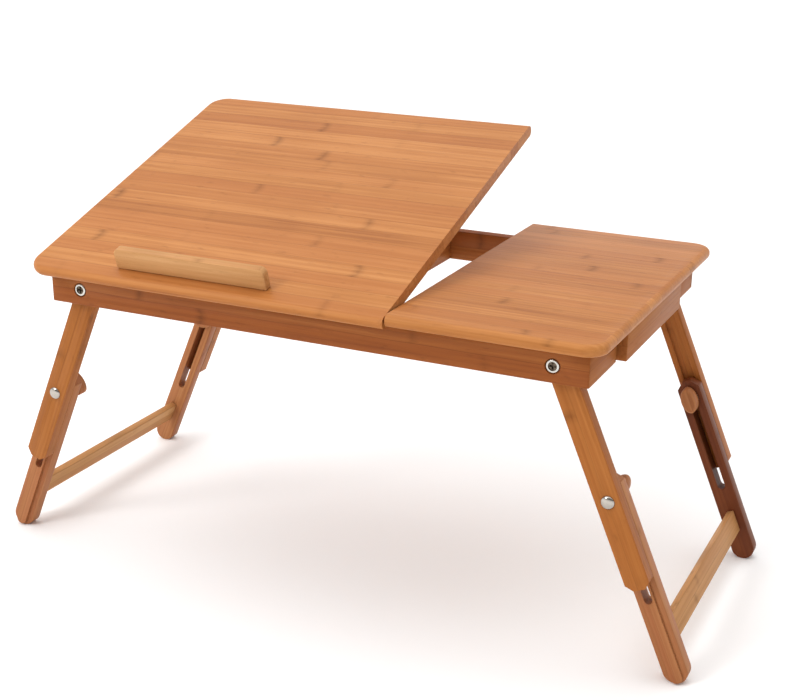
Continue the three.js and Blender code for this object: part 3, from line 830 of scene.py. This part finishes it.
for end, row, side, inward in CORNERS:
    bolt = pivot_head()
    bolt.name = f"pivot_bolt_{end}_{row}_turned"
    smooth(bolt, 30)
    outer = inward * (rail_inner - RAIL_THICK) + leg_pivot.y
    seat = Vector((side * leg_pivot.x, outer + inward * (BOLT_SINK - HEAD_LIFT), leg_pivot.z))
    facing = Matrix.Rotation(0 if inward > 0 else pi, 4, "Z")
    set_down(bolt, Matrix.Translation(seat) @ facing)
    hand_over(bolt, bolt_steel, "frame", f"pivot_bolt_{end}_{row}")
    # Faces in the dish and cross take the dark steel, painted shade.
    bolt.data.materials.append(recess_shade_steel)
    for face in bolt.data.polygons:
        offset = face.center - seat
        in_dish = offset.xz.length < DISH_RADIUS + 0.00002
        depth = inward * offset.y
        if in_dish and -HEAD_THICK + 0.0001 < depth < CROSS_DEEP + 0.0005:
            face.material_index = 1
    dress(f"pivot_nut_{end}_{row}", bolt_steel)


# ---- Clamp bolts, washers and knobs ----
# A domed bolt goes through the upper leg and the slot of the lower leg, where a washer and a
# long oval wooden knob clamp the two legs at the height that is set.
# The dome's steel is tinted darker than plain steel: a painted dark reflection.
dome_dark_reflection_steel = plated("dome_painted_dark_reflection", (0.46, 0.42, 0.37), 0.05, 700)
DOME_RADIUS = 0.006
DOME_FLATNESS = 0.43
DOME_LIFT = 0.00005
CLAMP_SHANK = 0.0334
WASHER_ROOM = 0.0017
KNOB_THICK = 0.0119
KNOB_HALF = (0.0072, 0.0123)
KNOB_ROUND = 0.0027
KNOB_EASE = 0.0006
KNOB_BORE = 0.0078
KNOB_STRIP_FROM = -0.009
KNOB_TURN = {"left_front": -60, "left_back": 80, "right_front": 50, "right_back": 0}
for i, (end, row, side, inward) in enumerate(CORNERS):
    seat_y = inward * (rail_inner + LEG_GAP - DOME_LIFT)
    bpy.ops.object.select_all(action="DESELECT")
    bpy.ops.mesh.primitive_uv_sphere_add(
        segments=36, ring_count=18, radius=DOME_RADIUS, location=(0, 0, 0), rotation=(pi / 2, 0, 0)
    )
    dome = bpy.context.object
    dome.name = f"clamp_bolt_{end}_{row}_turned"
    dome.scale.z = DOME_FLATNESS
    bpy.ops.object.transform_apply(location=True, rotation=True, scale=True)
    bpy.ops.object.mode_set(mode="EDIT")
    bpy.ops.mesh.select_all(action="SELECT")
    bpy.ops.mesh.bisect(plane_co=(0, 0, 0), plane_no=(0, 1, 0), use_fill=True, clear_outer=True)
    bpy.ops.object.mode_set(mode="OBJECT")
    combine(dome, [shank_blank(0.0005, CLAMP_SHANK)], "UNION")
    smooth(dome, 30)
    turn_in = Matrix.Rotation(0 if inward > 0 else pi, 4, "Z")
    at = Matrix.Translation((0, seat_y, -CLAMP_AT))
    set_down(dome, leg_matrix(side) @ at @ turn_in)
    hand_over(dome, dome_dark_reflection_steel, f"{end}_upper_legs", f"clamp_bolt_{end}_{row}")
    dress(f"clamp_washer_{end}_{row}", bolt_steel)

    y0 = inward * (rail_inner + LEGS_DEEP + WASHER_ROOM)
    y1 = y0 + inward * KNOB_THICK
    knob = turned_blank("Y", f"knob_{end}_{row}_carved", (0, y0, 0), (0, y1, 0), KNOB_HALF[1], 48)
    set_down(knob, Matrix.Diagonal((KNOB_HALF[0] / KNOB_HALF[1], 1, 1, 1)))
    for y, width, segments in ((y1, KNOB_ROUND, 3), (y0, KNOB_EASE, 2)):
        bevel_edges(
            knob, lambda at, way: abs(at.y - y) < 1e-5 and abs(way.y) < 0.1, width, segments
        )
    bore = turned_blank("Y", "cut", (0, y0 - inward * OVER, 0), (0, y0 + inward * KNOB_BORE, 0),
                        BOLT_HOLE, 24)
    combine(knob, [bore], "DIFFERENCE")
    smooth(knob, 40)
    twist = Matrix.Rotation(radians(KNOB_TURN[f"{end}_{row}"]), 4, "Y")
    set_down(knob, leg_matrix(side) @ Matrix.Translation((0, 0, -CLAMP_AT)) @ twist)
    knob_bamboo = leg_wood(f"knob_{end}_{row}_bamboo", RUSSET, side,
                           (KNOB_STRIP_FROM, y0, -CLAMP_AT), strip=0.0121, ply=0.006,
                           seed=50.9 + i, roughness=0.46)
    hand_over(knob, knob_bamboo, f"knob_{end}_{row}", f"clamp_knob_{end}_{row}")
